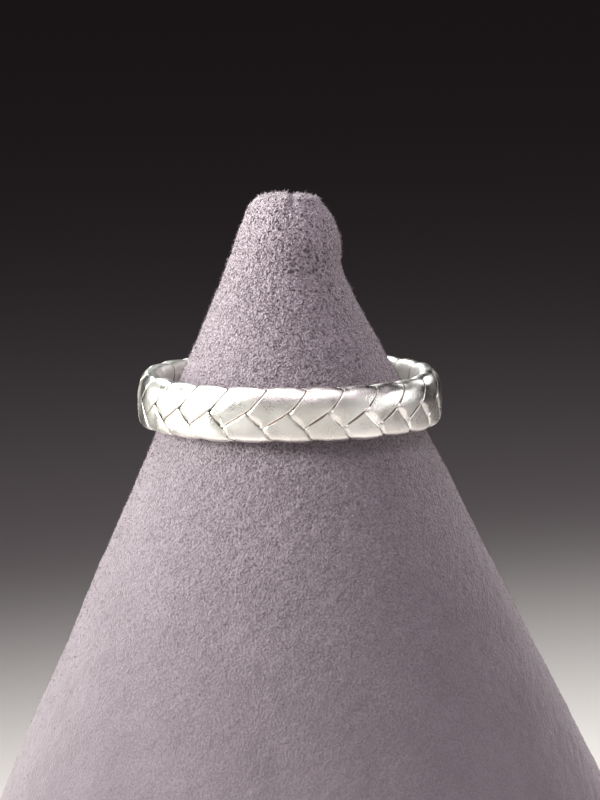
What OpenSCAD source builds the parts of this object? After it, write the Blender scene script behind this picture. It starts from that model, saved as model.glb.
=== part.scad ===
// Braided band ring on its cone display stand, in millimetres, +Z up.
// The band is a three-strand plait rolled flat: three closed strands, each woven over and under
// the other two, held on a covered cone by the band's lower inner edge. The front faces -Y.

/* [Ring] */
// Bore of the band, across the finger
ring_bore = 17.3; // [15:0.1:22]
// Height of the band, along the finger
band_h = 3.6; // [2.6:0.1:5]
// Thickness of the band at its rims, bore to outer face
band_t = 1.45; // [1.3:0.05:2.2]
// Radius of the rolled rims
rim_r = 0.5; // [0.3:0.02:0.6]
// Swell of the outer face at mid height
crown_h = 0.12; // [0:0.01:0.2]

/* [Braid] */
// Repeats of the plait round the band, three pitches each
braid_repeats = 8; // [6:1:10]
// Crack between two strands, along the face
strand_crack = 0.12; // [0.06:0.01:0.16]
// Height from a crossing to the band's middle line, before the crossings are moved down
crossing_h = 0.5; // [0.35:0.05:0.65]
// How far the crossings lie below mid height
crossing_drop = 0.2; // [0:0.02:0.3]
// How deep a strand's tail dives where it comes out from under the next
tail_drop = 0.2; // [0.1:0.01:0.26]
// Length over which the tail rises again
tail_rise = 0.55; // [0.4:0.05:0.8]
// How far a strand's crisp edge is rolled down
edge_drop = 0.07; // [0.04:0.01:0.12]
// Depth of the scallops along both rims
scallop_d = 0.08; // [0:0.01:0.15]
// How far the braid's lines lean along the band on their way up to the outer rim
line_lean = 0.8; // [0:0.05:1.1]
// Turn of the pattern about the finger, in degrees
pattern_turn = -2.1; // [-22:0.1:22]

/* [Stand] */
// Diameter of the cone's base
cone_base_d = 50; // [44:1:60]
// Angle between the cone's two sides, in degrees
cone_angle = 50; // [44:1:56]
// Clearance between the cone and the ring's lower inner edge
seat_gap = 0.06; // [0.04:0.01:0.2]
// Rise of the tip over the band's lower rim
tip_rise = 15.8; // [14:0.1:20]
// Rise of the neck, where the tip stands out of the cone, over the band's lower rim
neck_rise = 10.6; // [8.5:0.1:11.5]
// Diameter of the gathered tip
tip_d = 7.1; // [6.4:0.1:7.6]
// How far the tip is pushed to the viewer's right
tip_shift = 0.3; // [0:0.02:0.5]
// Roll of the fabric at the base's edge
base_roll = 0.8; // [0.4:0.1:1.5]

/* [Hidden] */
$fn = 96;
silver = [0.80, 0.79, 0.78];
suede = [0.47, 0.41, 0.42];

half_h = band_h / 2;
half_t = band_t / 2;
middle_r = ring_bore / 2 + half_t;
// once round the band's section, outer face, top rim, inner face, bottom rim
girth = 4 * half_h + 4 * half_t;
far_side = 2 * half_h + 2 * half_t;
repeats = round(braid_repeats);
pitch_deg = 120 / repeats;

// How each strand's section is drawn. Four of the six points of its shown half keep to the rim's
// two rounded corners while the strand wraps the rim.
rim_places = [0, half_h - 0.9 * rim_r, half_h, half_h + band_t, half_h + band_t + 0.9 * rim_r, 0];
half_points = len(rim_places);
// stations in each repeat
stations = 24;
step_deg = 360 / stations;
// least length of boundary that six points share, and their least distance from a corner
least_spread = 0.4 * band_t;
corner_clear = 0.08 * band_t;
// how much further in the points lie that no one sees
hidden_in = 0.09 * band_t;

// the cone, from its own values and the ring's
cone_slope = tan(cone_angle / 2);
seat_r = ring_bore / 2 + rim_r * (1 - cos(cone_angle / 2)) - seat_gap / cos(cone_angle / 2);
seat_z = (cone_base_d / 2 - seat_r) / cone_slope;
ring_z = seat_z + half_h - rim_r + rim_r * sin(cone_angle / 2);
neck_z = ring_z - half_h + neck_rise;
tip_r = tip_d / 2;
tip_z = ring_z - half_h + tip_rise;
cone_top_z = neck_z + 0.6 * tip_r;
cone_top_r = cone_base_d / 2 - cone_top_z * cone_slope;

function ease(x) = let(t = min(1, max(0, x))) t * t * (3 - 2 * t);

// height at x on a curve with both ends and both end slopes given
function curve_at(x, x0, x1, y0, y1, m0, m1) =
    let(h = x1 - x0, t = (x - x0) / h)
    (2 * t * t * t - 3 * t * t + 1) * y0 + (t * t * t - 2 * t * t + t) * h * m0
    + (3 * t * t - 2 * t * t * t) * y1 + (t * t * t - t * t) * h * m1;

// Places on the section's outline are lengths along it from the middle of the outer face.
// low_seam is where a strand's lower seam lies at a phase from -15 to 195 degrees of its weave:
// down across the face, up again to the top rim, over the rim and down the inner face.
seam_slope = crossing_h / 30;
rim_slope = 1.65 * (half_h - crossing_h) / 30;
function low_seam(phase) =
    phase <= 45 ? crossing_h - (phase + 15) * seam_slope
    : phase <= 105 ? (phase - 45) * seam_slope - crossing_h
    : phase <= 135 ? curve_at(phase, 105, 135, crossing_h, half_h, seam_slope, rim_slope)
    : phase <= 165 ? half_h + (phase - 135) / 30 * 2 * half_t
    : curve_at(phase, 165, 195, half_h + 2 * half_t, far_side - crossing_h, rim_slope, seam_slope);
function high_seam(phase) = far_side - low_seam(180 - phase);

// how deep a strand's edge lies at its lower seam, and how far the slope down to it reaches
function crisp(phase) = ease((phase - 38) / 14) * (1 - ease((phase - 135) / 20));
function seam_depth(phase) = tail_drop + (edge_drop - tail_drop) * crisp(phase);
function seam_reach(phase) = tail_rise + (2.5 * edge_drop - tail_rise) * crisp(phase);

// a place on the rounded outline, [height, outward] and then the normal
function on_outline(at) =
    let(t = (at + half_h + 2 * girth) % girth)
    let(raw = t < 2 * half_h ? [t - half_h, half_t, 0, 1]
        : t < 2 * half_h + 2 * half_t ? [half_h, half_t + 2 * half_h - t, 1, 0]
        : t < 4 * half_h + 2 * half_t ? [3 * half_h + 2 * half_t - t, -half_t, 0, -1]
        : [-half_h, t - 4 * half_h - 3 * half_t, -1, 0])
    let(over = [abs(raw[0]) - half_h + rim_r, abs(raw[1]) - half_t + rim_r])
    over[0] <= 0 || over[1] <= 0 ? raw
    : let(n = [sign(raw[0]) * over[0], sign(raw[1]) * over[1]] / norm(over))
      [sign(raw[0]) * (half_h - rim_r) + rim_r * n[0],
       sign(raw[1]) * (half_t - rim_r) + rim_r * n[1], n[0], n[1]];

function sunk(at, depth) = let(p = on_outline(at)) [p[0] - p[2] * depth, p[1] - p[3] * depth];

// a point at a length along a path of two to four points
function path_length(path, i = 0) =
    i >= len(path) - 1 ? 0 : norm(path[i + 1] - path[i]) + path_length(path, i + 1);
function along(path, s, i = 0) =
    let(leg = norm(path[i + 1] - path[i]))
    s <= leg || i >= len(path) - 2 ? path[i] + (path[i + 1] - path[i]) * s / max(leg, 0.0001)
    : along(path, s - leg, i + 1);

function falloff(x) = pow(max(0, 1 - x), 2);
function spread(low, high, k) = low + (high - low) * k / (half_points - 1);

function rim_place(from, to, k) =
    let(least = min(0.16 * band_t, (to - from) / (half_points - 1)))
    max(from + k * least, min(rim_places[k], to - (half_points - 1 - k) * least));

// The part of the outline that a strand shows from its lower to its upper seam.
function shown_side(phase, hidden_path) =
    let(from = low_seam(phase) + strand_crack / 2)
    let(to = high_seam(phase) - strand_crack / 2)
    let(depth = [seam_depth(phase), seam_depth(180 - phase)])
    let(reach = [seam_reach(phase), seam_reach(180 - phase)])
    let(whole = path_length(hidden_path))
    [for (k = [0 : half_points - 1])
        let(at = rim_place(from, to, k))
        k == 0 ? along(hidden_path, whole - depth[0])
        : k == half_points - 1 ? along(hidden_path, depth[1])
        : sunk(at, depth[0] * falloff((at - from) / reach[0])
            + depth[1] * falloff((to - at) / reach[1]))];

// The way back from the upper seam to the lower: along the seams inside the band and, while the
// strand still shows on the inner face, along that. Three cases, as the phase runs from 0 to 90.
function hidden_way(phase) =
    let(low = on_outline(low_seam(phase) + strand_crack / 2))
    let(high = on_outline(high_seam(phase) - strand_crack / 2))
    let(start = [high[0], high[1]], end = [low[0], low[1]])
    phase <= 15 ? let(in_from = on_outline(strand_crack / 2 - high_seam(phase + 180)))
        let(in_to = on_outline(-strand_crack / 2 - low_seam(phase + 180)))
        let(same = in_to[0] > in_from[0] - 0.001)
        let(a = [in_from[0], in_from[1]], b = [in_to[0], in_to[1]])
        [start, same ? (a + b) / 2 : a, same ? (a + b) / 2 : b, end]
    : phase <= 45 ? let(seam_end = on_outline(high_seam(phase + 120) - strand_crack / 2))
        let(from = [seam_end[0], seam_end[1]])
        [start, from + (end - from) * (phase - 15) / 30, end]
    : [start, end];

// Where the other six points lie along that way, as [from, to].
function hidden_span(phase, path) =
    let(whole = path_length(path), first = norm(path[1] - path[0]))
    let(clear = corner_clear + seam_depth(phase))
    phase <= 15 ? let(wide = norm(path[2] - path[1]), more = max(0, (least_spread - wide) / 2))
        [first - more, first + wide + more]
    : phase <= 45 ? let(to = min(first + least_spread / 2, whole - clear))
        [to - least_spread, to]
    : let(w = ease((phase - 45) / 45), to = whole - clear)
        [(1 - w) * (to - least_spread) + w * whole / (half_points + 1),
         (1 - w) * to + w * whole * half_points / (half_points + 1)];

function hidden_side(phase, path, centre) =
    let(span = hidden_span(phase, path), first = norm(path[1] - path[0]))
    let(wide = phase <= 15 ? norm(path[2] - path[1]) : 0)
    let(depth = phase <= 15 ? [seam_depth(-phase), seam_depth(phase + 180)] : [0, 0])
    let(reach = phase <= 15 ? [seam_reach(-phase), seam_reach(phase + 180)] : [1, 1])
    [for (k = [0 : half_points - 1])
        let(s = spread(span[0], span[1], k), in = s - first, out = first + wide - s)
        let(shows = phase <= 15 && in > 0 && out > 0 && k > 0 && k < half_points - 1)
        let(at = phase > 15 ? s : k == 0 ? min(s, first - depth[0])
            : k == half_points - 1 ? max(s, first + wide + depth[1]) : s)
        let(p = along(path, at))
        shows ? p + [0, depth[0] * falloff(in / reach[0]) + depth[1] * falloff(out / reach[1])]
        : p + (centre - p) / norm(centre - p) * hidden_in];

function mean(points) = [for (p = points) 1] * points / len(points);
function mirrored(points, by) =
    [for (k = [len(points) - 1 : -1 : 0]) [points[k][0] * by[0], points[k][1] * by[1]]];

// A strand's section at a phase of its weave: its quarter from 0 to 90 degrees, then the same
// turned over for the inner face and upside down for the way back across the band.
function section(phase) =
    let(f = (phase + 720) % 360)
    f > 180 ? let(s = section(f - 180)) [mirrored(s[1], [-1, 1]), mirrored(s[0], [-1, 1])]
    : f > 90 ? let(s = section(180 - f)) [mirrored(s[0], [1, -1]), mirrored(s[1], [1, -1])]
    : let(path = hidden_way(f), side = shown_side(f, path))
      [side, hidden_side(f, path, mean(concat(side, path)))];

// The rolled form of the whole band: crossings moved down, faces swelled, rims scalloped.
function rolled(p, turns) =
    let(s = min(1, max(-1, p[0] / half_h)), middle = 1 - s * s)
    let(notch = pow(0.5 + 0.5 * sign(s) * cos(360 * turns), 2) * s * abs(s) * scallop_d)
    let(swell = (p[1] > 0 ? crown_h : 0.3 * crown_h) * middle * p[1] / half_t)
    [p[0] - crossing_drop * middle - notch, p[1] + swell];

// The lean, in degrees about the finger: most at the outer face's top, none on the inner face.
full_lean = line_lean / middle_r * 180 / PI;
function lean(p) = full_lean * pow((p[0] / half_h + 1) / 2, 2) * (p[1] / half_t + 1) / 2;

// One closed strand: its sections set round the band, joined by triangles. Each four-sided patch
// along a seam inside the band is split the way that takes less metal, so that strands that share
// the seam stay clear. A patch that shows is split the fuller way, which rounds the rims.
ring_steps = stations * repeats;
section_points = 2 * half_points;
strand_points = [for (i = [0 : ring_steps - 1])
    let(phase = i * step_deg, s = section(phase % 360))
    for (p = concat(s[0], s[1]))
        let(turn = phase / repeats + lean(p))
        let(q = rolled(p, (phase + 90) / 120), r = middle_r + q[1])
        [r * sin(turn), -r * cos(turn), q[0]]];
function corner(i, k) = (i % ring_steps) * section_points + k % section_points;
function shows(i, k) =
    let(phase = (i * step_deg + 15 + (k < half_points ? 0 : 180)) % 360)
    phase <= 210 - step_deg && k % half_points < half_points - 1;
function fuller(a, b, c, d) = cross(b - a, c - a) * (d - a) > 0;
strand_faces = [for (i = [0 : ring_steps - 1]) for (k = [0 : section_points - 1])
    let(f = [corner(i, k), corner(i, k + 1), corner(i + 1, k + 1), corner(i + 1, k)])
    let(a = strand_points[f[0]], b = strand_points[f[1]])
    let(c = strand_points[f[2]], d = strand_points[f[3]])
    for (t = fuller(a, b, c, d) == shows(i, k) ? [[0, 1, 2], [0, 2, 3]] : [[0, 1, 3], [1, 2, 3]])
        [f[t[0]], f[t[1]], f[t[2]]]];

module strand(number) {
    color(silver)
        translate([0, 0, ring_z])
            rotate([0, 0, pattern_turn - number * pitch_deg])
                polyhedron(points = strand_points, faces = strand_faces, convexity = 10);
}

module strand_a() {
    strand(0);
}

module strand_b() {
    strand(1);
}

module strand_c() {
    strand(2);
}

// The stand: a straight-sided cone, and a rounded tip gathered on it a little to one side.
tip_share = [0, 0.25, 0.5, 0.7, 0.84, 0.93, 0.98, 1];
tip_low = neck_z + 0.4 * tip_r;
tip_outline = [for (s = tip_share) [tip_r * pow(1 - pow(s, 2.2), 1 / 2.2), tip_low + (tip_z - tip_low) * s]];

module cone_stand() {
    color(suede) {
        rotate_extrude()
            polygon([[0, 0],
                [cone_base_d / 2 - base_roll, 0],
                [cone_base_d / 2 - 0.45 * base_roll, 0.2 * base_roll],
                [cone_base_d / 2 - base_roll * cone_slope, base_roll],
                [cone_top_r, cone_top_z],
                [0, cone_top_z]]);
        translate([tip_shift, 0, 0])
            rotate_extrude()
                polygon(concat([[0, neck_z - tip_r], [0.96 * tip_r, neck_z]], tip_outline));
    }
}

strand_a();
strand_b();
strand_c();
cone_stand();
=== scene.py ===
from math import cos, hypot, pi, radians, sin, tan

import bpy
import numpy as np
from mathutils import Matrix, Vector, noise


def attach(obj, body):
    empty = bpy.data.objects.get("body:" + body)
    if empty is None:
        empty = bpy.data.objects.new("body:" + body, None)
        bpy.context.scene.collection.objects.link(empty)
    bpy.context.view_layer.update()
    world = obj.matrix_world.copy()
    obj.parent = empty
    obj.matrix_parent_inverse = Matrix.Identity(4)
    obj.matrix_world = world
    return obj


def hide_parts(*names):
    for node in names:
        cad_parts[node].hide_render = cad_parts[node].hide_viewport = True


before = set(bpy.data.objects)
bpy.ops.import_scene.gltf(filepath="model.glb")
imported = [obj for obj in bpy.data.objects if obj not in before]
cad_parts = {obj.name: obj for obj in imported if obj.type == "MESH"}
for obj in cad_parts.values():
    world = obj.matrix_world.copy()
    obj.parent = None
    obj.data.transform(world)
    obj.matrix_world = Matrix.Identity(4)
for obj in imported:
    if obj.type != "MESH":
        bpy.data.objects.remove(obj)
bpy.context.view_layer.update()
print("frame loaded")

mm = 0.001


def linear(hexColour):
    # sRGB hex to the linear RGBA that a shader socket takes
    parts = [int(hexColour[i:i + 2], 16) / 255 for i in (1, 3, 5)]
    return tuple(c / 12.92 if c <= 0.04045 else ((c + 0.055) / 1.055) ** 2.4 for c in parts) + (1.0,)


def addNode(tree, kind, settings=None, inputs=None):
    # one shader node, with its settings, and its sockets set to a value or linked to another's output
    made = tree.nodes.new("ShaderNode" + kind)
    for name, value in (settings or {}).items():
        setattr(made, name, value)
    for name, value in (inputs or {}).items():
        if isinstance(value, bpy.types.NodeSocket):
            tree.links.new(value, made.inputs[name])
        else:
            made.inputs[name].default_value = value
    return made


def newMaterial(name):
    material = bpy.data.materials.new(name)
    material.use_nodes = True
    material.node_tree.nodes.clear()
    return material, material.node_tree


def meshPiece(name, points, faces, material):
    # a smooth-shaded mesh whose faces all have the same number of corners
    mesh = bpy.data.meshes.new(name)
    points = np.asarray(points, dtype=np.float32)
    faces = np.asarray(faces, dtype=np.int32)
    corners = faces.shape[1]
    mesh.vertices.add(len(points))
    mesh.vertices.foreach_set("co", points.ravel())
    mesh.loops.add(faces.size)
    mesh.loops.foreach_set("vertex_index", faces.ravel())
    mesh.polygons.add(len(faces))
    mesh.polygons.foreach_set("loop_start", np.arange(0, faces.size, corners, dtype=np.int32))
    mesh.polygons.foreach_set("use_smooth", np.ones(len(faces), dtype=bool))
    mesh.update(calc_edges=True)
    mesh.validate()
    mesh.materials.append(material)
    piece = bpy.data.objects.new(name, mesh)
    bpy.context.scene.collection.objects.link(piece)
    return piece


def vertexNumbers(piece, name, values):
    layer = piece.data.attributes.new(name, "FLOAT", "POINT")
    layer.data.foreach_set("value", np.asarray(values, dtype=np.float32))


def gridFaces(rows, across, closed):
    # quads between rows of points that each run round; closed joins the last row to the first
    i, k = np.meshgrid(np.arange(rows if closed else rows - 1), np.arange(across), indexing="ij")
    nextI, nextK = (i + 1) % rows, (k + 1) % across
    corners = [i * across + k, i * across + nextK, nextI * across + nextK, nextI * across + k]
    return np.stack(corners, axis=2).reshape(-1, 4)


# The band: three strands plaited, soldered into a ring and rolled flat
band = {  # millimetres and degrees, the main sizes as in the solid model
    "bore": 17.3,
    "height": 3.6,
    "thick": 1.45,
    "rimRound": 0.5,  # radius of the section's corners
    "crown": 0.11,  # how far the outer face swells at its middle
    "boreCrown": 0.3,  # the bore's swell, as a share of that
    "repeats": 8,  # of the plait's pattern, round the band
    "crack": 0.008,  # between two strands
    "crossing": 0.55,  # how far over and under the middle the seams turn back
    "rimSteep": 1.65,  # how steeply the seams run into the rim; 1 goes there in a straight line
    "crossingDrop": 0.31,  # how far the crossings lie below the middle
    "edgeDrop": 0.04,  # the edge of the strand on top: how deep it is rolled down,
    "edgeRoll": 0.13,  # over what length
    "edgeTarnish": 0.12,  # and how tarnished it is
    "edgeCurve": 1.1,  # 1 slopes straight down to an edge, more bends near it
    "scallop": 0.09,  # depth of the notches in the rims
    "shoulder": 0.30,  # how far the outer face falls away towards the upper rim
    "shoulderFrom": 0.2,  # from this share of the half height on
    "foot": 0.05,  # and the same towards the lower rim
    "footFrom": 0.4,
    "lean": 1.15,  # how far the lines lean along the band at the upper rim
    "leanCurve": 2.2,  # 1 leans evenly on the way up, more keeps the lean near the rim
    "turn": -2.1,  # degrees that the pattern is turned round the band
    "middleZ": 36.6155,  # the height at which the ring rests on the cone
    "tilt": 1.3,  # degrees that the ring hangs lower on its right
    "slid": 0.04,  # and how far it slid that way
    "coreWidth": 0.4,  # a strand's least width inside the band, as a share of the thickness
    "coreClear": 0.08,  # how far it ends before the seam there, as such a share
    "coreInset": 0.09,  # and how far it is drawn in from the strand beside it
    "coreTarnish": 0.12,
    "stations": 96,  # sections in each repeat
    "sidePoints": 40,  # points in each half of a section
    "edgeCrowd": 0.5,  # how much closer the points stand near a strand's edges
    "sharp": 38,  # an edge that turns by more degrees is shaded sharp
}
# Beside each line of the plait the strand below dives: how deep, over what length it rises again and how
# much painted shade it has there, from 0 to 1, in the tarnish's brown-grey: the dives beside the climbing
# lines would otherwise mirror the lamps bright. The two rows are the line's start and end, as the eye
# follows it
dives = {
    "climbTop": ((0.14, 0.52, 1.0), (0.06, 0.24, 0.9)),  # from the crossing up to the upper rim
    "fallTop": ((0.06, 0.20, 0.0), (0.16, 0.52, 0.0)),  # from the crossing down to the next line's foot
    "climbFoot": ((0.05, 0.16, 0.6), (0.06, 0.24, 0.9)),  # from that foot up to the crossing
    "fallFoot": ((0.16, 0.58, 0.0), (0.21, 0.60, 0.0)),  # on down to the lower rim
}
# A strand's phase is 360 degrees in each repeat. These are the phases at which its lower seam is at the
# upper crossing, the lower one, the upper one again, the outer rim, the inner rim and the bore's crossing
upperTurn, lowerTurn, upperPass, outerRim, innerRim, boreTurn = -15, 45, 105, 135, 165, 195
boreShown = 15  # up to this phase the strand shows on the bore as well
overFrom, overWhole = 38, 52  # between these it comes up over its neighbour,
overEnd = 155  # and from the outer rim to this phase it goes under again
quarter = 90  # of the weave, the others being its mirror images
nextStrand = 120  # how far on the next strand is

halfH = band["height"] / 2
halfT = band["thick"] / 2
middleR = band["bore"] / 2 + halfT
girth = 4 * halfH + 4 * halfT  # round the section, as if its corners were square
farSide = 2 * halfH + 2 * halfT  # from the middle of the outer face to the middle of the bore
seamSlope = 2 * band["crossing"] / (lowerTurn - upperTurn)
rimSlope = band["rimSteep"] * (halfH - band["crossing"]) / (outerRim - upperPass)


def ease(x):
    t = min(1.0, max(0.0, x))
    return t * t * (3 - 2 * t)


def curveAt(x, x0, x1, y0, y1, slope0, slope1):
    # a smooth curve from one place to another, with the slope that it has at each
    h = x1 - x0
    t = (x - x0) / h
    return ((2 * t ** 3 - 3 * t * t + 1) * y0 + (t ** 3 - 2 * t * t + t) * h * slope0
            + (3 * t * t - 2 * t ** 3) * y1 + (t ** 3 - t * t) * h * slope1)


def lowSeam(phase):
    # where a strand's lower seam runs, as a length along the section from the outer face's middle
    c = band["crossing"]
    if phase <= lowerTurn:
        return c - (phase - upperTurn) * seamSlope
    if phase <= upperPass:
        return (phase - lowerTurn) * seamSlope - c
    if phase <= outerRim:
        return curveAt(phase, upperPass, outerRim, c, halfH, seamSlope, rimSlope)
    if phase <= innerRim:
        return halfH + (phase - outerRim) / (innerRim - outerRim) * 2 * halfT
    return curveAt(phase, innerRim, boreTurn, halfH + 2 * halfT, farSide - c, rimSlope, seamSlope)


def highSeam(phase):
    return farSide - lowSeam(2 * quarter - phase)


def onTop(phase):
    # how far the strand lies over its neighbour at the lower seam, from 0 to 1
    return (ease((phase - overFrom) / (overWhole - overFrom))
            * (1 - ease((phase - outerRim) / (overEnd - outerRim))))


def edgeShape(phase, falling):
    # how deep a strand's edge lies at its lower seam, how far the slope down to it reaches, and how much
    # tarnish and painted shade it has
    if phase > quarter:
        first, last = dives["fallFoot" if falling else "climbTop"]
        t = ease((boreTurn - phase) / (boreTurn - innerRim))
    else:
        first, last = dives["climbFoot" if falling else "fallTop"]
        t = ease((phase - upperTurn) / (overFrom - upperTurn))
    over = band["edgeDrop"], band["edgeRoll"], band["edgeTarnish"]
    c = onTop(phase)
    return [(1 - c) * (first[n] + (last[n] - first[n]) * t) + c * over[n] for n in range(3)]


def onOutline(at):
    # a place on the band's rounded section, [height, outward], and its normal
    t = (at + halfH + 2 * girth) % girth
    r = band["rimRound"]
    if t < 2 * halfH:
        p, n = (t - halfH, halfT), (0.0, 1.0)
    elif t < 2 * halfH + 2 * halfT:
        p, n = (halfH, halfT + 2 * halfH - t), (1.0, 0.0)
    elif t < 4 * halfH + 2 * halfT:
        p, n = (3 * halfH + 2 * halfT - t, -halfT), (0.0, -1.0)
    else:
        p, n = (-halfH, t - 4 * halfH - 3 * halfT), (-1.0, 0.0)
    over = (abs(p[0]) - halfH + r, abs(p[1]) - halfT + r)
    if over[0] > 0 and over[1] > 0:
        size = hypot(*over)
        n = (np.sign(p[0]) * over[0] / size, np.sign(p[1]) * over[1] / size)
        p = (np.sign(p[0]) * (halfH - r) + r * n[0], np.sign(p[1]) * (halfT - r) + r * n[1])
    return np.array(p), np.array(n)


def sunk(at, depth):
    p, n = onOutline(at)
    return p - n * depth


def pathLength(path):
    return sum(np.linalg.norm(b - a) for a, b in zip(path, path[1:]))


def along(path, s):
    # the place at a length along a path, the last leg going on past its end
    shortest = 0.0001  # so that a leg of no length divides nothing by zero
    for i, (a, b) in enumerate(zip(path, path[1:])):
        leg = np.linalg.norm(b - a)
        if s <= leg or i == len(path) - 2:
            return a + (b - a) * s / max(leg, shortest)
        s -= leg


def falloff(x):
    return max(0.0, 1 - x) ** band["edgeCurve"]


def crowded(k):
    # 0 to 1 over a strand's shown side, with the points closer together at both of its edges
    t = k / (band["sidePoints"] - 1)
    return t - band["edgeCrowd"] * sin(2 * pi * t) / (2 * pi)


def hiddenWay(phase):
    # the corners of the way back inside the band, from the strand's upper seam to its lower one
    gap = band["crack"] / 2
    touching = 0.001  # closer than this, the two corners on the bore are one
    low = onOutline(lowSeam(phase) + gap)[0]
    high = onOutline(highSeam(phase) - gap)[0]
    if phase <= boreShown:
        a = onOutline(gap - highSeam(phase + 2 * quarter))[0]
        b = onOutline(-gap - lowSeam(phase + 2 * quarter))[0]
        if b[0] > a[0] - touching:
            a = b = (a + b) / 2
        return [high, a, b, low]
    if phase <= lowerTurn:
        a = onOutline(highSeam(phase + nextStrand) - gap)[0]
        return [high, a + (low - a) * (phase - boreShown) / (lowerTurn - boreShown), low]
    return [high, low]


def shownSide(phase, way, falling):
    # the part of the band's surface that the strand shows, and how much tarnish and painted shade it has
    low = lowSeam(phase) + band["crack"] / 2
    high = highSeam(phase) - band["crack"] / 2
    depth, reach, tarnishAndShade = zip(edgeShape(phase, falling), edgeShape(2 * quarter - phase, falling))
    points, dark = [], []
    for k in range(band["sidePoints"]):
        at = low + (high - low) * crowded(k)
        near = falloff((at - low) / reach[0]), falloff((high - at) / reach[1])
        dark.append(max(tarnishAndShade[0] * near[0], tarnishAndShade[1] * near[1]))
        if k == 0:
            points.append(along(way, pathLength(way) - depth[0]))
        elif k == band["sidePoints"] - 1:
            points.append(along(way, depth[1]))
        else:
            points.append(sunk(at, depth[0] * near[0] + depth[1] * near[1]))
    return points, dark


def hiddenSpan(phase, way, clear):
    # where along the way back the hidden side starts and ends
    whole = pathLength(way)
    first = np.linalg.norm(way[1] - way[0])
    least = band["coreWidth"] * band["thick"]
    if phase <= boreShown:
        wide = np.linalg.norm(way[2] - way[1])
        more = max(0, (least - wide) / 2)
        return first - more, first + wide + more
    if phase <= lowerTurn:
        end = min(first + least / 2, whole - clear)
        return end - least, end
    w = ease((phase - lowerTurn) / (quarter - lowerTurn))
    end = whole - clear
    evenly = whole / (band["sidePoints"] + 1)
    return (1 - w) * (end - least) + w * evenly, (1 - w) * end + w * evenly * band["sidePoints"]


def hiddenSide(phase, way, centre, falling):
    # the way back along the seams inside the band, and on the bore while the strand shows there
    onBore = phase <= boreShown
    last = band["sidePoints"] - 1
    inset = band["coreInset"] * band["thick"]
    clear = band["coreClear"] * band["thick"] + edgeShape(phase, falling)[0]
    start, end = hiddenSpan(phase, way, clear)
    if onBore:
        boreFrom = np.linalg.norm(way[1] - way[0])
        boreTo = boreFrom + np.linalg.norm(way[2] - way[1])
        edges = edgeShape(-phase, falling), edgeShape(phase + 2 * quarter, falling)
        (depth0, reach0), (depth1, reach1) = (edge[:2] for edge in edges)
    points, dark = [], []
    for k in range(last + 1):
        s = start + (end - start) * k / last
        if onBore and boreFrom < s < boreTo and 0 < k < last:
            lift = depth0 * falloff((s - boreFrom) / reach0) + depth1 * falloff((boreTo - s) / reach1)
            points.append(along(way, s) + np.array([0, lift]))
            dark.append(0)
            continue
        if onBore and k == 0:
            s = min(s, boreFrom - depth0)
        if onBore and k == last:
            s = max(s, boreTo + depth1)
        p = along(way, s)
        points.append(p + (centre - p) / np.linalg.norm(centre - p) * inset)
        dark.append(band["coreTarnish"])
    return points, dark


def mirrored(half, signs):
    points, dark = half
    return [p * signs for p in points[::-1]], dark[::-1]


def section(phase, falling=False):
    # a strand's section, as the half on the outside and the half on the inside, each with its tarnish and
    # painted
    # shade: one quarter of the weave is worked out, the rest are its mirror images
    f = phase % (4 * quarter)
    if f > 2 * quarter:
        outer, inner = section(f - 2 * quarter, True)
        return mirrored(inner, (-1, 1)), mirrored(outer, (-1, 1))
    if f > quarter:
        outer, inner = section(2 * quarter - f, falling)
        return mirrored(outer, (1, -1)), mirrored(inner, (1, -1))
    way = hiddenWay(f)
    shown, dark = shownSide(f, way, falling)
    return (shown, dark), hiddenSide(f, way, np.mean(np.array(shown), axis=0), falling)


def sectionRing():
    points, dark = [], []
    for i in range(band["stations"]):
        (outer, darkOuter), (inner, darkInner) = section(4 * quarter * i / band["stations"])
        points.append(outer + inner)
        dark.append(darkOuter + darkInner)
    return np.array(points), np.array(dark)


def lean(height, outward):
    # the plait's lines lean along the band on their way up the outer face, in radians
    up = np.clip((height / halfH + 1) / 2, 0, None)
    return band["lean"] / middleR * up ** band["leanCurve"] * (outward / halfT + 1) / 2


def rolledForm(height, outward, turns):
    # crossings moved down, faces swelled and rims scalloped, for the whole band alike
    s = np.clip(height / halfH, -1, 1)
    middle = 1 - s * s
    notch = (0.5 + 0.5 * np.sign(s) * np.cos(2 * pi * turns)) ** 2 * s * abs(s) * band["scallop"]
    crown = np.where(outward > 0, 1, band["boreCrown"]) * band["crown"]
    above = np.clip((s - band["shoulderFrom"]) / (1 - band["shoulderFrom"]), 0, 1)
    below = np.clip((-s - band["footFrom"]) / (1 - band["footFrom"]), 0, 1)
    fall = band["shoulder"] * above ** 2 + band["foot"] * below ** 2
    return (height - band["crossingDrop"] * middle - notch,
            outward + crown * middle * outward / halfT - fall * np.clip(outward / halfT, 0, 1))


# The small unevenness of a hand-rolled band. A row of waves is how far they go, how many there are round
# the band, how they shift with the height, and where they start
unevenness = {
    "rims": ((0.018, 3, 0, 0.7), (0.014, 7, 0, 2.1), (0.010, 13, 0, 4.0)),  # millimetres up and down
    "faces": ((0.012, 5, 1.2, 0), (0.008, 11, -1.6, 0.5)),  # millimetres in and out
    "lines": ((0.45, 4, 0, 0.4), (0.22, 9, 0, 2.0)),  # degrees round the band
    "dip": 0.09,  # millimetres that the upper rim dips on the right of the front
    "dipAt": 0.85,  # where that is, in radians from the front,
    "dipHalf": 0.42,  # and how far it reaches to each side
}


def waves(rows, angle, height):
    return sum(size * np.sin(count * angle + shift * height + start)
               for size, count, shift, start in rows)


def handmade(angle, height, outward):
    # the same for all three strands, so that they stay apart
    rise = waves(unevenness["rims"], angle, height) * np.abs(height) / halfH
    dip = unevenness["dip"] * np.exp(-((angle - unevenness["dipAt"]) / unevenness["dipHalf"]) ** 2)
    rise = rise - dip * np.clip(height / halfH, 0, 1)
    swell = waves(unevenness["faces"], angle, height)
    shift = np.radians(waves(unevenness["lines"], angle, height))
    return angle + shift, height + rise, outward + swell * outward / halfT


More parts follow.
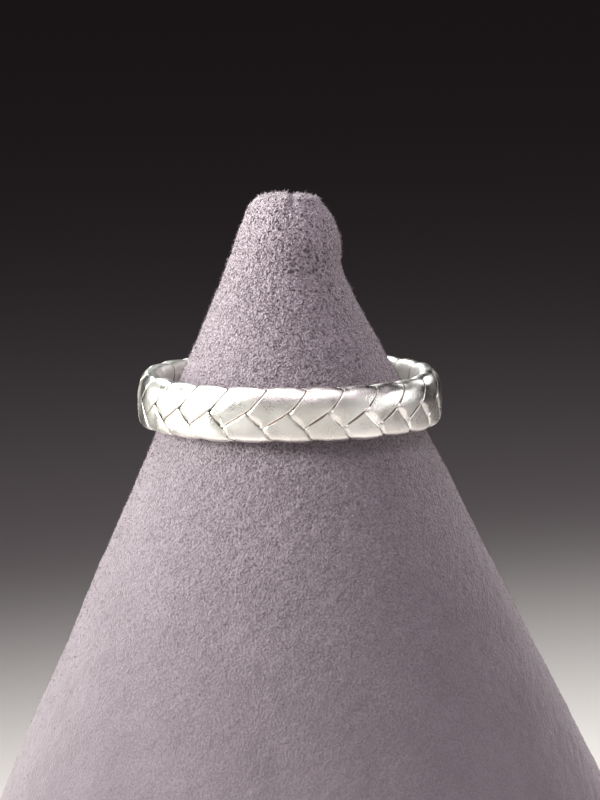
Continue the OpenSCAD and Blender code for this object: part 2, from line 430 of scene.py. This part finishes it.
def buildStrand(name, number, sections, tarnishAndShade, material):
    count = band["stations"] * band["repeats"]
    phase = (np.arange(count) * 4 * quarter / band["stations"])[:, None]
    tiled = np.tile(sections, (band["repeats"], 1, 1))
    turns = (phase + quarter) / nextStrand
    height, outward = rolledForm(tiled[:, :, 0], tiled[:, :, 1], turns)
    turn = np.radians((phase - number * nextStrand) / band["repeats"] + band["turn"])
    turn = turn + lean(tiled[:, :, 0], tiled[:, :, 1])
    turn, height, outward = handmade(turn, height, outward)
    r = middleR + outward
    x, y = r * np.sin(turn), -r * np.cos(turn)
    tilt = radians(band["tilt"])
    tiltedX = x * cos(tilt) + height * sin(tilt) + band["slid"]
    tiltedZ = height - x * sin(tilt) + band["middleZ"]
    points = np.stack([tiltedX, y, tiltedZ], axis=2) * mm
    faces = gridFaces(count, 2 * band["sidePoints"], True)
    piece = meshPiece(name, points.reshape(-1, 3), faces, material)
    vertexNumbers(piece, "tarnishAndShade", np.tile(tarnishAndShade, (band["repeats"], 1)).ravel())
    vertexNumbers(piece, "inner", np.clip(-outward / halfT, 0, 1).ravel())
    piece.data.set_sharp_from_angle(angle=radians(band["sharp"]))
    return piece


silverLook = {
    "pale": "#F5F2EE",
    "film": "#DEDAD4",  # a thin yellowish film of age, in patches
    "filmMost": 0.8,  # how much of it the patches have
    "filmIn": (0.4, 0.62),  # the stretch of the noise, here and below, over which a patch comes in
    # brown-grey: tarnish in the cracks, and painted shade on the dives beside the climbing lines
    "tarnishAndShade": "#776A61",
    "tarnishAndShadeFull": 0.36,  # the strand's value of tarnish and painted shade from which the metal is all brown-grey
    "polished": 0.22,
    "satin": 0.38,
    "satinIn": (0.35, 0.7),
    "unpolished": 0.55,  # the bore
    "dull": 0.66,  # the tarnish and the painted shade
    "grain": 0.11 * mm,  # the tooth that rolling and polishing leave, coarser than the real one, to show
    "grainDepth": 0.022 * mm,
    "grainLeast": 0.15,  # how strong it is outside its patches
    "grainIn": (0.42, 0.62),
    "dent": 1.6 * mm,  # across the shallow dents and the satin patches
    "dentDepth": 0.09 * mm,
    "dentStrength": 0.5,
    "worn": 2.6 * mm,  # across the patches of film and of stronger grain
}


def rolledSilver():
    # sterling silver, plaited, rolled and polished by hand: bright and soft-edged, satin in patches,
    # with a brown-grey line of tarnish down in the cracks, and the same brown-grey as painted shade on
    # the dives beside the climbing lines
    look = silverLook
    material, tree = newMaterial("rolledSterlingSilver")
    place = addNode(tree, "TexCoord").outputs["Object"]
    tarnishAndShade = addNode(tree, "Attribute", {"attribute_name": "tarnishAndShade"}).outputs["Fac"]
    inner = addNode(tree, "Attribute", {"attribute_name": "inner"}).outputs["Fac"]
    dents = addNode(tree, "TexNoise", None, {
        "Vector": place, "Scale": 1 / look["dent"], "Detail": 3.0, "Roughness": 0.55}).outputs["Fac"]
    grain = addNode(tree, "TexNoise", None, {
        "Vector": place, "Scale": 1 / look["grain"], "Detail": 2.0, "Roughness": 0.6}).outputs["Fac"]
    worn = addNode(tree, "TexNoise", None, {
        "Vector": place, "Scale": 1 / look["worn"], "Detail": 2.0}).outputs["Fac"]

    # the mask of tarnish and painted shade: tarnish down in the cracks, painted shade on the dives beside
    # the climbing lines
    crack = addNode(tree, "MapRange", {"interpolation_type": "SMOOTHSTEP"}, {
        "Value": tarnishAndShade, "From Min": 0.0, "From Max": look["tarnishAndShadeFull"],
        "To Min": 0.0, "To Max": 1.0}).outputs["Result"]
    film = addNode(tree, "MapRange", None, {
        "Value": worn, "From Min": look["filmIn"][0], "From Max": look["filmIn"][1],
        "To Min": 0.0, "To Max": look["filmMost"]}).outputs["Result"]
    aged = addNode(tree, "Mix", {"data_type": "RGBA"}, {
        0: film, 6: linear(look["pale"]), 7: linear(look["film"])}).outputs[2]
    colour = addNode(tree, "Mix", {"data_type": "RGBA"}, {
        0: crack, 6: aged, 7: linear(look["tarnishAndShade"])}).outputs[2]

    satin = addNode(tree, "MapRange", None, {
        "Value": dents, "From Min": look["satinIn"][0], "From Max": look["satinIn"][1],
        "To Min": look["polished"], "To Max": look["satin"]}).outputs["Result"]
    clean = addNode(tree, "Mix", {"data_type": "FLOAT"}, {
        0: inner, 2: satin, 3: look["unpolished"]}).outputs[0]
    rough = addNode(tree, "Mix", {"data_type": "FLOAT"}, {
        0: crack, 2: clean, 3: look["dull"]}).outputs[0]

    grainStrength = addNode(tree, "MapRange", None, {
        "Value": worn, "From Min": look["grainIn"][0], "From Max": look["grainIn"][1],
        "To Min": look["grainLeast"], "To Max": 1.0}).outputs["Result"]
    toothed = addNode(tree, "Bump", None, {
        "Height": grain, "Strength": grainStrength, "Distance": look["grainDepth"]}).outputs["Normal"]
    dented = addNode(tree, "Bump", None, {
        "Height": dents, "Strength": look["dentStrength"], "Distance": look["dentDepth"],
        "Normal": toothed}).outputs["Normal"]
    shader = addNode(tree, "BsdfPrincipled", None, {
        "Base Color": colour, "Metallic": 1.0, "Roughness": rough, "Normal": dented}).outputs["BSDF"]
    addNode(tree, "OutputMaterial", None, {"Surface": shader})
    return material


silver = rolledSilver()
sections, tarnishAndShade = sectionRing()
for number, letter in enumerate("abc"):
    strand = buildStrand("strand" + letter.upper(), number, sections, tarnishAndShade, silver)
    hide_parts("strand_" + letter)
    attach(strand, "root")
print("strands plaited")

# The stand: a stiff cone covered in suede, its top gathered a little to one side
stand = {  # millimetres
    "baseRadius": 25.0,
    "slope": tan(radians(25)),
    "rimZ": 34.8155,  # the band's lower rim
    "around": 320,  # points in each row
    "baseGap": 0.32,  # from row to row, at the base
    "tipGap": 0.12,  # and at the tip
    "closeFrom": 36,  # from this height on the rows stand as close as at the tip
    "tipTop": 15.3,  # how far over the band's lower rim the rows go
    "capHeight": 0.25,  # of the flat closed top over them
    "capCurve": 2.2,
    "capRows": 18,
    "bumps": ((6.0, 0.09), (1.1, 0.035), (0.40, 0.045), (0.22, 0.030)),  # across, and how high
    "plainBelow": 0.8,  # they fade out from here down to the base
    "sideRise": 0.42,  # how much the cover's bumps point upward on the slope
    "topRise": 0.9,  # and on the top
    "topFrom": 14.0,  # which starts this far over the band's lower rim
}
# height and radius of the turned edge at the base
baseEdge = [(0.0, 24.2), (0.05, 24.42), (0.16, 24.58), (0.34, 24.66), (0.55, 24.66)]
# height over the band's lower rim, then the outline's distance from the axis to the left and right
tipOutline = [
    (3.0, 7.37, 7.34), (4.0, 6.90, 6.80), (5.0, 6.43, 6.28), (6.0, 5.97, 5.77), (7.0, 5.50, 5.24),
    (7.7, 5.17, 4.88), (8.2, 4.95, 4.64), (8.7, 4.74, 4.42), (9.3, 4.46, 4.15), (9.9, 4.17, 3.91),
    (10.4, 4.02, 3.78), (10.9, 3.80, 3.72), (11.5, 3.55, 3.77), (12.0, 3.37, 3.78), (12.5, 3.18, 3.74),
    (13.1, 2.94, 3.59), (13.6, 2.70, 3.40), (14.2, 2.46, 3.03), (14.7, 2.22, 2.70), (15.2, 1.62, 2.46),
]
crease = {  # millimetres: it runs down the front of the top, between two lobes
    "from": 14.3,  # over the band's lower rim
    "over": 0.9,  # it comes in over this height
    "x": 0.66,
    "halfWidth": 0.24,
    "depth": 0.24,
    "lobeX": 0.7,  # to the right of this the lobe is lower, by so much for each millimetre
    "lobeDrop": 0.10,
}


def coneRadius(z):
    return stand["baseRadius"] - z * stand["slope"]


def coverOutline():
    # (z, radius to the left, radius to the right) from the base's edge up to the tip
    rows = [(z, radius, radius) for z, radius in baseEdge]
    tipFrom = tipOutline[0][0]
    z = stand["plainBelow"]
    while z < stand["rimZ"] + tipFrom - 0.1:  # which leaves room for the tip's first row
        rows.append((z, coneRadius(z), coneRadius(z)))
        z += stand["baseGap"] - (stand["baseGap"] - stand["tipGap"]) * min(1, z / stand["closeFrom"])
    heights, lefts, rights = zip(*tipOutline)
    for h in np.arange(tipFrom, stand["tipTop"], stand["tipGap"]):
        rows.append((stand["rimZ"] + h, np.interp(h, heights, lefts), np.interp(h, heights, rights)))
    return rows


def coverRow(z, left, right, share=1):
    # one row of points round the cover, drawn in to a share of its radius: 0 faces -Y, a quarter on +X
    angle = np.arange(stand["around"]) * 2 * pi / stand["around"]
    r = (left + right) / 2 * share
    shift = (right - left) / 2
    return np.stack([shift + r * np.sin(angle), -r * np.cos(angle), np.full(len(angle), z)], axis=1)


def raisedCover(points):
    # the plain form's points moved by the leather's bumps and by the crease in its top
    height = points[:, 2] - stand["rimZ"]
    bumps = np.array([sum(high * noise.noise(Vector(p) / across) for across, high in stand["bumps"])
                      for p in points])
    furrow = crease["depth"] * np.exp(-((points[:, 0] - crease["x"]) / crease["halfWidth"]) ** 2)
    lobe = crease["lobeDrop"] * np.clip(points[:, 0] - crease["lobeX"], 0, 1)
    bumps -= np.clip((height - crease["from"]) / crease["over"], 0, 1) * (furrow + lobe)
    bumps *= np.clip(points[:, 2] / stand["plainBelow"], 0, 1)
    outward = points * (1, 1, 0)
    outward /= np.maximum(np.linalg.norm(outward, axis=1), 0.2)[:, None]  # shorter near the axis
    outward[:, 2] = np.where(height > stand["topFrom"], stand["topRise"], stand["sideRise"])
    return points + outward * bumps[:, None]


def buildCover(material):
    outline = coverOutline()
    rows = [coverRow(*row) for row in outline]
    z, left, right = outline[-1]
    for t in np.linspace(0, 1, stand["capRows"])[1:-1]:
        rise = stand["capHeight"] * (1 - (1 - t) ** stand["capCurve"])
        rows.append(coverRow(z + rise, left, right, 1 - t))
    count = stand["around"]
    points = raisedCover(np.concatenate(rows))
    last = len(points) - count
    points = np.vstack([points, points[last:].mean(axis=0), (0, 0, 0)])
    walls = gridFaces(len(rows), count, False)
    k = np.arange(count)
    nextK = (k + 1) % count
    faces = np.vstack([
        walls[:, [0, 1, 2]],
        walls[:, [0, 2, 3]],
        np.stack([last + k, last + nextK, np.full(count, len(points) - 2)], axis=1),  # the top's middle
        np.stack([nextK, k, np.full(count, len(points) - 1)], axis=1)])  # and the base
    return meshPiece("coneCover", points * mm, faces, material)


suedeLook = {
    "nap": "#9C8F9A",
    # painted shade on the lower nap between the tufts
    "paintedShade": "#655A61",
    # painted shade in the openings between the tufts
    "pitShade": "#251E22",
    "rough": 0.95,
    "clump": 0.14 * mm,  # the tufts that the raised nap stands in
    "clumpIn": (0.38, 0.64),  # the stretch of the noise, here and below, from one look to the other
    "clumpEven": 0.7,  # how far the tufts' colour fills the painted shade between them at the base
    "clumpFull": 0.8,  # how raised the nap is where it no longer does
    "gap": 0.21 * mm,  # the openings between them, painted dark as shade
    "gapIn": (0.34, 0.46),
    "cloud": 3.5 * mm,  # across the patches where the dye took a little more or less
    "cloudIn": (0.3, 0.7),
    "cloudLight": (0.93, 1.07),
    "worn": (6 * mm, 50 * mm),  # the cover is darker, with weaker relief and less painted shade by the tufts, at the first height, and brighter with all of it at the second: painted light and shade by height
    "raisedCurve": 1.7,  # how the tufts and openings come in between the two
    "paintedLightCurve": 2.8,  # and how the painted light brightens
    "light": (0.43, 1.34),  # painted brightness at the two heights: darker at the base, lighter at the tip
    "depth": 0.26 * mm,
    "strength": (0.15, 0.95),  # of the relief, at the two heights
    "sheen": "#E9E1E4",
    "sheenWeight": 0.7,
    "sheenRough": 0.35,
}


def suedeCover():
    # dyed split suede with a short raised nap: matt, softly lit at its edges, pebbled with small tufts,
    # with painted shade between them and in the openings between them, and painted light and shade that
    # darkens it towards the base
    look = suedeLook
    material, tree = newMaterial("napSuede")
    place = addNode(tree, "TexCoord").outputs["Object"]
    clump = addNode(tree, "TexNoise", None, {
        "Vector": place, "Scale": 1 / look["clump"], "Detail": 1.5, "Roughness": 0.5}).outputs["Fac"]
    gap = addNode(tree, "TexNoise", None, {
        "Vector": place, "Scale": 1 / look["gap"], "Detail": 2.0, "Roughness": 0.5,
        "Distortion": 0.8}).outputs["Fac"]
    cloud = addNode(tree, "TexNoise", None, {
        "Vector": place, "Scale": 1 / look["cloud"], "Detail": 3.0}).outputs["Fac"]

    height = addNode(tree, "SeparateXYZ", None, {"Vector": place}).outputs["Z"]
    upward = addNode(tree, "MapRange", None, {
        "Value": height, "From Min": look["worn"][0], "From Max": look["worn"][1],
        "To Min": 0.0, "To Max": 1.0}).outputs["Result"]
    raised = addNode(tree, "Math", {"operation": "POWER"}, {0: upward, 1: look["raisedCurve"]}).outputs[0]
    paintedLightRise = addNode(tree, "Math", {"operation": "POWER"}, {0: upward, 1: look["paintedLightCurve"]}).outputs[0]
    # painted light and shade by height: the cover's colour darker towards the base and brighter towards
    # the tip
    light = addNode(tree, "MapRange", None, {
        "Value": paintedLightRise, "From Min": 0.0, "From Max": 1.0,
        "To Min": look["light"][0], "To Max": look["light"][1]}).outputs["Result"]

    evenness = addNode(tree, "MapRange", None, {
        "Value": raised, "From Min": 0.0, "From Max": look["clumpFull"],
        "To Min": look["clumpEven"], "To Max": 0.0}).outputs["Result"]
    # the tufts' colour, with painted shade on the nap between them, less of it towards the base
    tufts = addNode(tree, "MapRange", None, {
        "Value": clump, "From Min": look["clumpIn"][0], "From Max": look["clumpIn"][1],
        "To Min": evenness, "To Max": 1.0}).outputs["Result"]
    nap = addNode(tree, "Mix", {"data_type": "RGBA"}, {
        0: tufts, 6: linear(look["paintedShade"]), 7: linear(look["nap"])}).outputs[2]
    # painted shade in the openings between the tufts, none at the base and full at the tip
    shadedHollow = addNode(tree, "MapRange", {"interpolation_type": "SMOOTHSTEP"}, {
        "Value": gap, "From Min": look["gapIn"][0], "From Max": look["gapIn"][1],
        "To Min": raised, "To Max": 0.0}).outputs["Result"]
    pitShaded = addNode(tree, "Mix", {"data_type": "RGBA"}, {
        0: shadedHollow, 6: nap, 7: linear(look["pitShade"])}).outputs[2]
    uneven = addNode(tree, "MapRange", None, {
        "Value": cloud, "From Min": look["cloudIn"][0], "From Max": look["cloudIn"][1],
        "To Min": look["cloudLight"][0], "To Max": look["cloudLight"][1]}).outputs["Result"]
    value = addNode(tree, "Math", {"operation": "MULTIPLY"}, {0: light, 1: uneven}).outputs[0]
    colour = addNode(tree, "HueSaturation", None, {"Color": pitShaded, "Value": value}).outputs["Color"]

    relief = addNode(tree, "Math", {"operation": "ADD"}, {0: clump, 1: gap}).outputs[0]
    strength = addNode(tree, "MapRange", None, {
        "Value": upward, "From Min": 0.0, "From Max": 1.0,
        "To Min": look["strength"][0], "To Max": look["strength"][1]}).outputs["Result"]
    bump = addNode(tree, "Bump", None, {
        "Height": relief, "Distance": look["depth"], "Strength": strength}).outputs["Normal"]
    shader = addNode(tree, "BsdfPrincipled", None, {
        "Base Color": colour, "Roughness": look["rough"], "Normal": bump, "IOR": 1.45,
        "Sheen Weight": look["sheenWeight"], "Sheen Roughness": look["sheenRough"],
        "Sheen Tint": linear(look["sheen"])}).outputs["BSDF"]
    addNode(tree, "OutputMaterial", None, {"Surface": shader})
    return material


suede = suedeCover()
cover = buildCover(suede)
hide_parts("cone_stand")
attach(cover, "root")
print("cone covered")

# The nap: short fibres that stand out of the suede and fuzz its outline
nap = {  # millimetres
    "fibres": 98000,  # as sown: those that fall on the openings are left out
    "sown": ((8, 34), (0.5, 1.7)),  # how densely, by height
    "plainBelow": 0.7,
    "shortest": 0.09,
    "longest": 0.26,
    "lengthCurve": 1.6,  # more than 1 makes more of them short
    "grown": ((10, 46), (0.35, 1)),  # share of that length, by height
    "width": 0.036,  # thicker than a real fibre, which would be too fine to show
    "widthVaries": 0.3,  # either way, as a share
    "tipWidth": 0.35,  # as a share of the root's
    "rootDepth": 0.02,
    "strays": 360,  # longer and finer hairs that stand off
    "strayLength": 0.6,
    "strayShortest": 0.4,  # as a share of that
    "strayWidth": 0.6,  # as a share of the others'
    "tuft": 0.34,  # across the tufts whose fibres lean together
    "lean": 1.2,  # how far a tuft leans
    "splay": 0.245,  # and how far each fibre in it leans its own way
    "leastRise": 0.25,  # how much it still points out of the leather
    "opening": 0.36,  # across the openings
    "bare": -0.12,  # the noise below which there is one
    "seed": 7,  # of the fibres' places and sizes, and of the way that the tufts lean
}
fibreLook = {
    "root": "#685E65",
    "end": "#ADA2A7",
    "endCurve": 1.5,
    "ends": 0.7,  # how much of the lighter colour comes by chance
    "crests": 0.9,  # and how much on the crests between the openings, as painted light
    "endsAndPaintedLight": ((8, 30, 50), (0.1, 0.4, 1.1)),  # share of both, by height in millimetres: painted shade that darkens them towards the base
    "rough": 0.85,
    "sheen": "#CFC4CA",
    "sheenWeight": 0.2,
    "sheenRough": 0.4,
}


def suedeFibres():
    # the same dyed leather fibres seen singly: lighter where their ends are rubbed, at random, with
    # painted light on the crests between the openings, and painted shade that darkens them towards the
    # base
    look = fibreLook
    material, tree = newMaterial("suedeFibres")
    endsAndPaintedLight = addNode(tree, "Attribute", {"attribute_name": "endsAndPaintedLight"}).outputs["Fac"]
    colour = addNode(tree, "Mix", {"data_type": "RGBA"}, {
        0: endsAndPaintedLight, 6: linear(look["root"]), 7: linear(look["end"])}).outputs[2]
    shader = addNode(tree, "BsdfPrincipled", None, {
        "Base Color": colour, "Roughness": look["rough"], "IOR": 1.45,
        "Sheen Weight": look["sheenWeight"], "Sheen Roughness": look["sheenRough"],
        "Sheen Tint": linear(look["sheen"])}).outputs["BSDF"]
    addNode(tree, "OutputMaterial", None, {"Surface": shader})
    return material


def coverTriangles(cover):
    # the three corners of each triangle, in millimetres
    mesh = cover.data
    points = np.empty(len(mesh.vertices) * 3, dtype=np.float32)
    mesh.vertices.foreach_get("co", points)
    points = points.reshape(-1, 3).astype(float) / mm
    corners = np.empty(len(mesh.loops), dtype=np.int32)
    mesh.loops.foreach_get("vertex_index", corners)
    return (points[corners.reshape(-1, 3)[:, n]] for n in range(3))


def sowRoots(cover, dice):
    # places on the cover, evenly sown by area and by how densely its height asks, and the way out there
    a, b, c = coverTriangles(cover)
    normal = np.cross(b - a, c - a)
    area = np.linalg.norm(normal, axis=1)
    height = (a[:, 2] + b[:, 2] + c[:, 2]) / 3
    weight = area * np.interp(height, *nap["sown"]) * (height > nap["plainBelow"])
    share = np.cumsum(weight) / weight.sum()
    count = nap["fibres"] + nap["strays"]
    chosen = np.searchsorted(share, dice.random(count)).clip(0, len(weight) - 1)
    u, v = dice.random(count), dice.random(count)
    u, v = np.where(u + v > 1, 1 - u, u)[:, None], np.where(u + v > 1, 1 - v, v)[:, None]
    root = a[chosen] + (b[chosen] - a[chosen]) * u + (c[chosen] - a[chosen]) * v
    return root, normal[chosen] / area[chosen][:, None]


def unitRows(rows):
    return rows / np.linalg.norm(rows, axis=1)[:, None]


def buildNap(cover, material):
    dice = np.random.default_rng(nap["seed"])
    noise.seed_set(nap["seed"])  # noise_vector is offset by the time of day unless it is seeded
    strays = nap["strays"]  # the last ones sown
    root, outward = sowRoots(cover, dice)
    elsewhere = Vector((9, 4, 7))  # so that the openings don't follow the tufts
    crest = np.array([noise.noise(Vector(p) / nap["opening"] + elsewhere) for p in root])
    kept = crest > nap["bare"]
    kept[-strays:] = True
    root, outward, crest = root[kept], outward[kept], crest[kept]
    count = len(root)

    tuft = np.array([noise.noise_vector(Vector(p) / nap["tuft"]) for p in root])
    way = outward + nap["lean"] * tuft + nap["splay"] * dice.normal(size=(count, 3))
    way += outward * np.maximum(0, nap["leastRise"] - (way * outward).sum(axis=1))[:, None]
    way = unitRows(way)
    spread = (nap["longest"] - nap["shortest"]) * dice.random(count) ** nap["lengthCurve"]
    length = (nap["shortest"] + spread) * np.interp(root[:, 2], *nap["grown"])
    short = nap["strayShortest"]
    length[-strays:] = nap["strayLength"] * (short + (1 - short) * dice.random(strays))
    varies = nap["widthVaries"]
    width = nap["width"] * (1 - varies + 2 * varies * dice.random(count))
    width[-strays:] *= nap["strayWidth"]
    half = unitRows(np.cross(way, dice.normal(size=(count, 3)))) * (width / 2)[:, None]

    root = root - outward * nap["rootDepth"]
    tip = root + way * length[:, None]
    tipHalf = half * nap["tipWidth"]
    corners = np.stack([root - half, root + half, tip + tipHalf, tip - tipHalf], axis=1)
    faces = np.arange(count * 4).reshape(-1, 4)
    piece = meshPiece("suedeNap", corners.reshape(-1, 3) * mm, faces, material)
    # lighter fibres at random, and as painted light on the crests between the openings; then painted
    # shade by height, darker towards the base
    endsAndPaintedLight = fibreLook["ends"] * dice.random(count) ** fibreLook["endCurve"] + fibreLook["crests"] * crest
    endsAndPaintedLight = np.clip(endsAndPaintedLight, 0, 1) * np.interp(root[:, 2], *fibreLook["endsAndPaintedLight"])
    vertexNumbers(piece, "endsAndPaintedLight", np.repeat(endsAndPaintedLight, 4))
    return piece


napPiece = buildNap(cover, suedeFibres())
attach(napPiece, "root")
print("nap raised")

# The floor, the camera, and the soft lights close to the stand
floorLook = {"colour": "#CFCAC8", "half": 3.0}  # half its width, in metres
view = {  # millimetres and degrees
    "elevation": 8.0,
    "roll": -1.8,  # as the photograph's camera was held
    "distance": 300.0,
    "tall": 53.7,  # how much the picture's height shows at the ring
    "right": 0.74,  # where the camera aims, from the ring's centre
    "down": 0.29,
    "sensor": 36.0,
    "clip": (10.0, 20000.0),
}
# azimuth, elevation, distance, width, height, radiance, colour, the grid's angle and the place aimed at,
# in degrees and millimetres
softboxes = {
    "keyLeft": (-92, 6, 230, 180, 120, 30.0, "#FCFFF6", 50, (0, 0, 38)),
    "keyHigh": (-72, 22, 200, 100, 80, 62.0, "#FCFFF6", 38, (0, 0, 50)),
    "frontLow": (8, -4, 170, 640, 66, 0.79, "#FDFCF6", 180, (0, 0, 38)),
    "frontUp": (8, 13, 180, 520, 40, 0.30, "#FDFCF6", 180, (0, 0, 38)),
    "canopy": (16, 54, 160, 400, 170, 1.45, "#FFF4FC", 120, (0, 0, 38)),
    "top": (-130, 74, 140, 140, 120, 3.2, "#FFF4FC", 66, (0, 0, 38)),
    "backLeft": (-150, 44, 190, 200, 130, 7.5, "#F6FFFA", 60, (0, 0, 38)),
    "backRight": (140, 24, 220, 90, 90, 3.0, "#FFFFFF", 44, (0, 0, 38)),
    "right": (88, 12, 260, 210, 100, 2.3, "#FFFFFF", 110, (0, 0, 38)),
    "tableLeft": (-60, 60, 170, 90, 90, 16.0, "#FFFDF8", 40, (-48, -40, 0)),
    "tableRight": (24, 66, 170, 150, 100, 10.5, "#FFFDF8", 46, (34, -46, 0)),
}
surround = {"colour": "#6A5F66", "strength": 0.1}


def buildFloor():
    # painted board, matt and pale
    material, tree = newMaterial("paleFloor")
    shader = addNode(tree, "BsdfPrincipled", None, {
        "Base Color": linear(floorLook["colour"]), "Roughness": 0.8}).outputs["BSDF"]
    addNode(tree, "OutputMaterial", None, {"Surface": shader})
    h = floorLook["half"]
    corners = [(-h, -h, 0), (h, -h, 0), (h, h, 0), (-h, h, 0)]
    floor = meshPiece("floor", corners, [(0, 1, 2, 3)], material)


def aimFrom(azimuth, elevation, distance, target):
    # a place round the target, azimuth 0 in front and 90 to the viewer's right, and the turn to face it
    a, e = radians(azimuth), radians(elevation)
    away = Vector((cos(e) * sin(a), -cos(e) * cos(a), sin(e)))
    return target + away * distance, away.to_track_quat("Z", "Y").to_matrix()


def buildCamera():
    camera = bpy.data.cameras.new("camera")
    camera.sensor_width = view["sensor"]
    camera.lens = camera.sensor_width * view["distance"] / view["tall"]
    camera.clip_start, camera.clip_end = (reach * mm for reach in view["clip"])
    holder = bpy.data.objects.new("camera", camera)
    bpy.context.scene.collection.objects.link(holder)
    target = Vector((0, 0, band["middleZ"])) * mm
    place, turn = aimFrom(0, view["elevation"], view["distance"] * mm, target)
    turn = turn @ Matrix.Rotation(radians(view["roll"]), 3, "Z")
    offset = turn @ Vector((view["right"], -view["down"], 0)) * mm
    holder.matrix_world = Matrix.Translation(place + offset) @ turn.to_4x4()
    bpy.context.scene.camera = holder


def softbox(name, azimuth, elevation, distance, width, height, radiance, colour, grid, aim):
    # a rectangular light with a grid over it, set so that the silver mirrors it as bright as its radiance
    light = bpy.data.lights.new(name, "AREA")
    light.shape = "RECTANGLE"
    light.size = width * mm
    light.size_y = height * mm
    spread = radians(grid)
    light.spread = spread
    gridShare = 1 - spread / 2 / tan(spread / 2)
    light.energy = radiance * pi * light.size * light.size_y * gridShare
    light.color = linear(colour)[:3]
    holder = bpy.data.objects.new(name, light)
    bpy.context.scene.collection.objects.link(holder)
    place, turn = aimFrom(azimuth, elevation, distance * mm, Vector(aim) * mm)
    holder.matrix_world = Matrix.Translation(place) @ turn.to_4x4()


def buildSurround():
    # a faint mauve grey all round, for what the softboxes don't reach
    world = bpy.data.worlds.new("studio")
    world.use_nodes = True
    background = world.node_tree.nodes["Background"]
    background.inputs["Color"].default_value = linear(surround["colour"])
    background.inputs["Strength"].default_value = surround["strength"]
    bpy.context.scene.world = world


buildFloor()
buildCamera()
for name, settings in softboxes.items():
    softbox(name, *settings)
buildSurround()
bpy.context.scene.view_settings.view_transform = "Standard"
print("camera and lights set")
